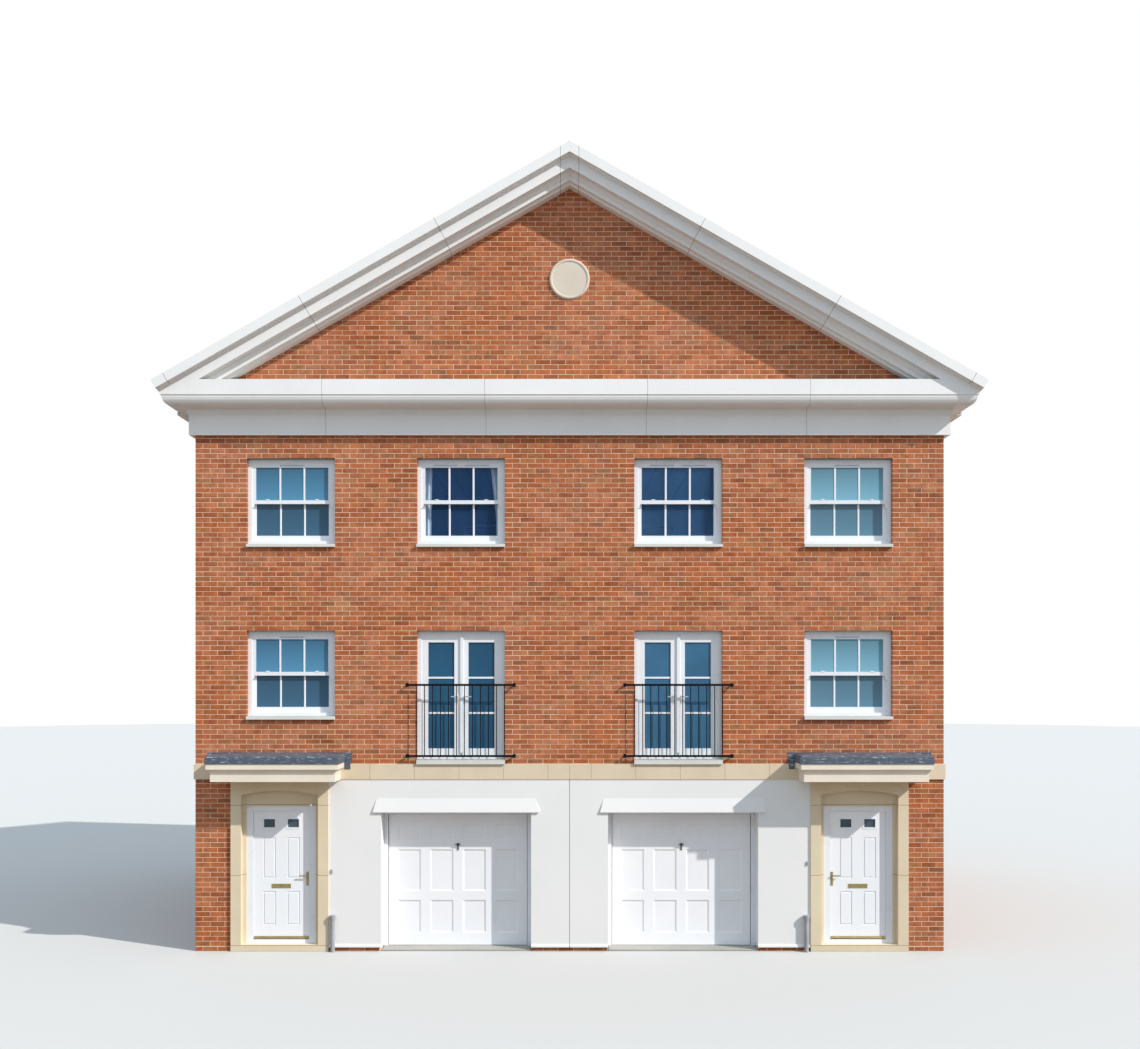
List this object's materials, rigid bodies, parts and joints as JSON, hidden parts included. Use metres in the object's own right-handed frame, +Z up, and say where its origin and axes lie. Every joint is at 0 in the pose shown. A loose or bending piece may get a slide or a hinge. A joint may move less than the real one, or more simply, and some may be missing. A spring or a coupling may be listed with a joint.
{
  "type": "terraced house row",
  "caption": "Pair of three-storey brick town houses under one pediment, with sash windows, balconies, canopied front doors and up-and-over garage doors.",
  "frame": {"origin": "on the ground at the centre of the walls' plan", "axes": "+X to the right along the front, +Y from the front to the rear, +Z up"},
  "size_m": [12.36, 9.727, 12.0862],
  "materials": {
    "brick": "fired clay brick with light mortar",
    "block": "plastered blockwork",
    "concrete": "floated concrete",
    "floor": "boarded timber floor",
    "ceiling": "boarded joists",
    "render": "smooth white render",
    "stone": "cream cast stone",
    "moulding": "white moulded cornice",
    "roof": "grey slate",
    "ridge": "grey ridge tile",
    "gutter": "black rainwater pipe",
    "window_white": "white window plastic",
    "glass": "clear glass",
    "black_steel": "black painted steel",
    "lead": "weathered sheet lead",
    "door_white": "white painted door skin",
    "garage_white": "white painted steel",
    "brass": "satin brass",
    "track": "galvanised steel",
    "roller": "black nylon",
    "dark_handle": "dark lacquered handle",
    "grey_pipe": "grey pipe cover"
  },
  "bodies": {
    "house": {"ground_slab": "concrete", "ground_wall_piers": "brick", "ground_wall_lintels": "brick", "render_piers": "render", "render_band": "render", "door_surrounds": "stone", "string_course": "stone", "front_wall_piers": "brick", "front_wall_bands": "brick", "left_wall": "brick", "right_wall": "brick", "rear_wall_piers": "brick", "rear_wall_bands": "brick", "party_wall": "block", "first_floor": "floor", "second_floor": "floor", "attic_floor": "ceiling", "front_gable": "brick", "rear_gable": "brick", "round_plaque": "stone", "frieze": "moulding", "cornice": "moulding", "raking_cornice": "moulding", "roof_left": "roof", "roof_right": "roof", "ridge_tiles": "ridge", "eaves": "moulding", "gutters": "gutter", "downpipes": "gutter", "rear_bargeboards": "moulding", "window_sills": "stone", "window_frames": "window_white", "window_sashes": "window_white", "window_glass": "glass", "glazed_doors": "window_white", "glazed_door_glass": "glass", "juliet_balconies": "black_steel", "balcony_brackets": "black_steel", "door_canopies": "moulding", "canopy_leads": "lead", "door_frames": "window_white", "garage_posts": "window_white", "garage_heads": "window_white", "garage_tracks": "track", "waste_pipes": "grey_pipe"},
    "front_door_left": {"front_door_left": "door_white", "front_door_glass_left": "glass", "door_furniture_left": "brass"},
    "front_door_right": {"front_door_right": "door_white", "front_door_glass_right": "glass", "door_furniture_right": "brass"},
    "garage_rollers_left": {"garage_rollers_left": "roller"},
    "garage_rollers_right": {"garage_rollers_right": "roller"},
    "garage_door_left": {"garage_door_left": "garage_white", "garage_handle_left": "dark_handle"},
    "garage_door_right": {"garage_door_right": "garage_white", "garage_handle_right": "dark_handle"}
  },
  "joints": [
    {"name": "front_door_left_hinge", "type": "hinge", "parent": "house", "child": "front_door_left", "pos_m": [-4.8235, -4.3405, 1], "axis": [0, 0, 1], "range_deg": [0, 90]},
    {"name": "garage_left_lift", "type": "slide", "parent": "house", "child": "garage_rollers_left", "axis": [0, 0, 1], "range_m": [0, 1.243]},
    {"name": "garage_left_tilt", "type": "hinge", "parent": "garage_rollers_left", "child": "garage_door_left", "pos_m": [-1.718, -4.109, 0.726], "axis": [-1, 0, 0], "range_deg": [0, 90]},
    {"name": "front_door_right_hinge", "type": "hinge", "parent": "house", "child": "front_door_right", "pos_m": [4.8235, -4.3405, 1], "axis": [0, 0, -1], "range_deg": [0, 90]},
    {"name": "garage_right_lift", "type": "slide", "parent": "house", "child": "garage_rollers_right", "axis": [0, 0, 1], "range_m": [0, 1.243]},
    {"name": "garage_right_tilt", "type": "hinge", "parent": "garage_rollers_right", "child": "garage_door_right", "pos_m": [1.718, -4.109, 0.726], "axis": [-1, 0, 0], "range_deg": [0, 90]}
  ],
  "couplings": [
    {"joint": "garage_left_tilt", "follows": "garage_left_lift", "rad_per_m": 1.2637},
    {"joint": "garage_right_tilt", "follows": "garage_right_lift", "rad_per_m": 1.2637}
  ]
}
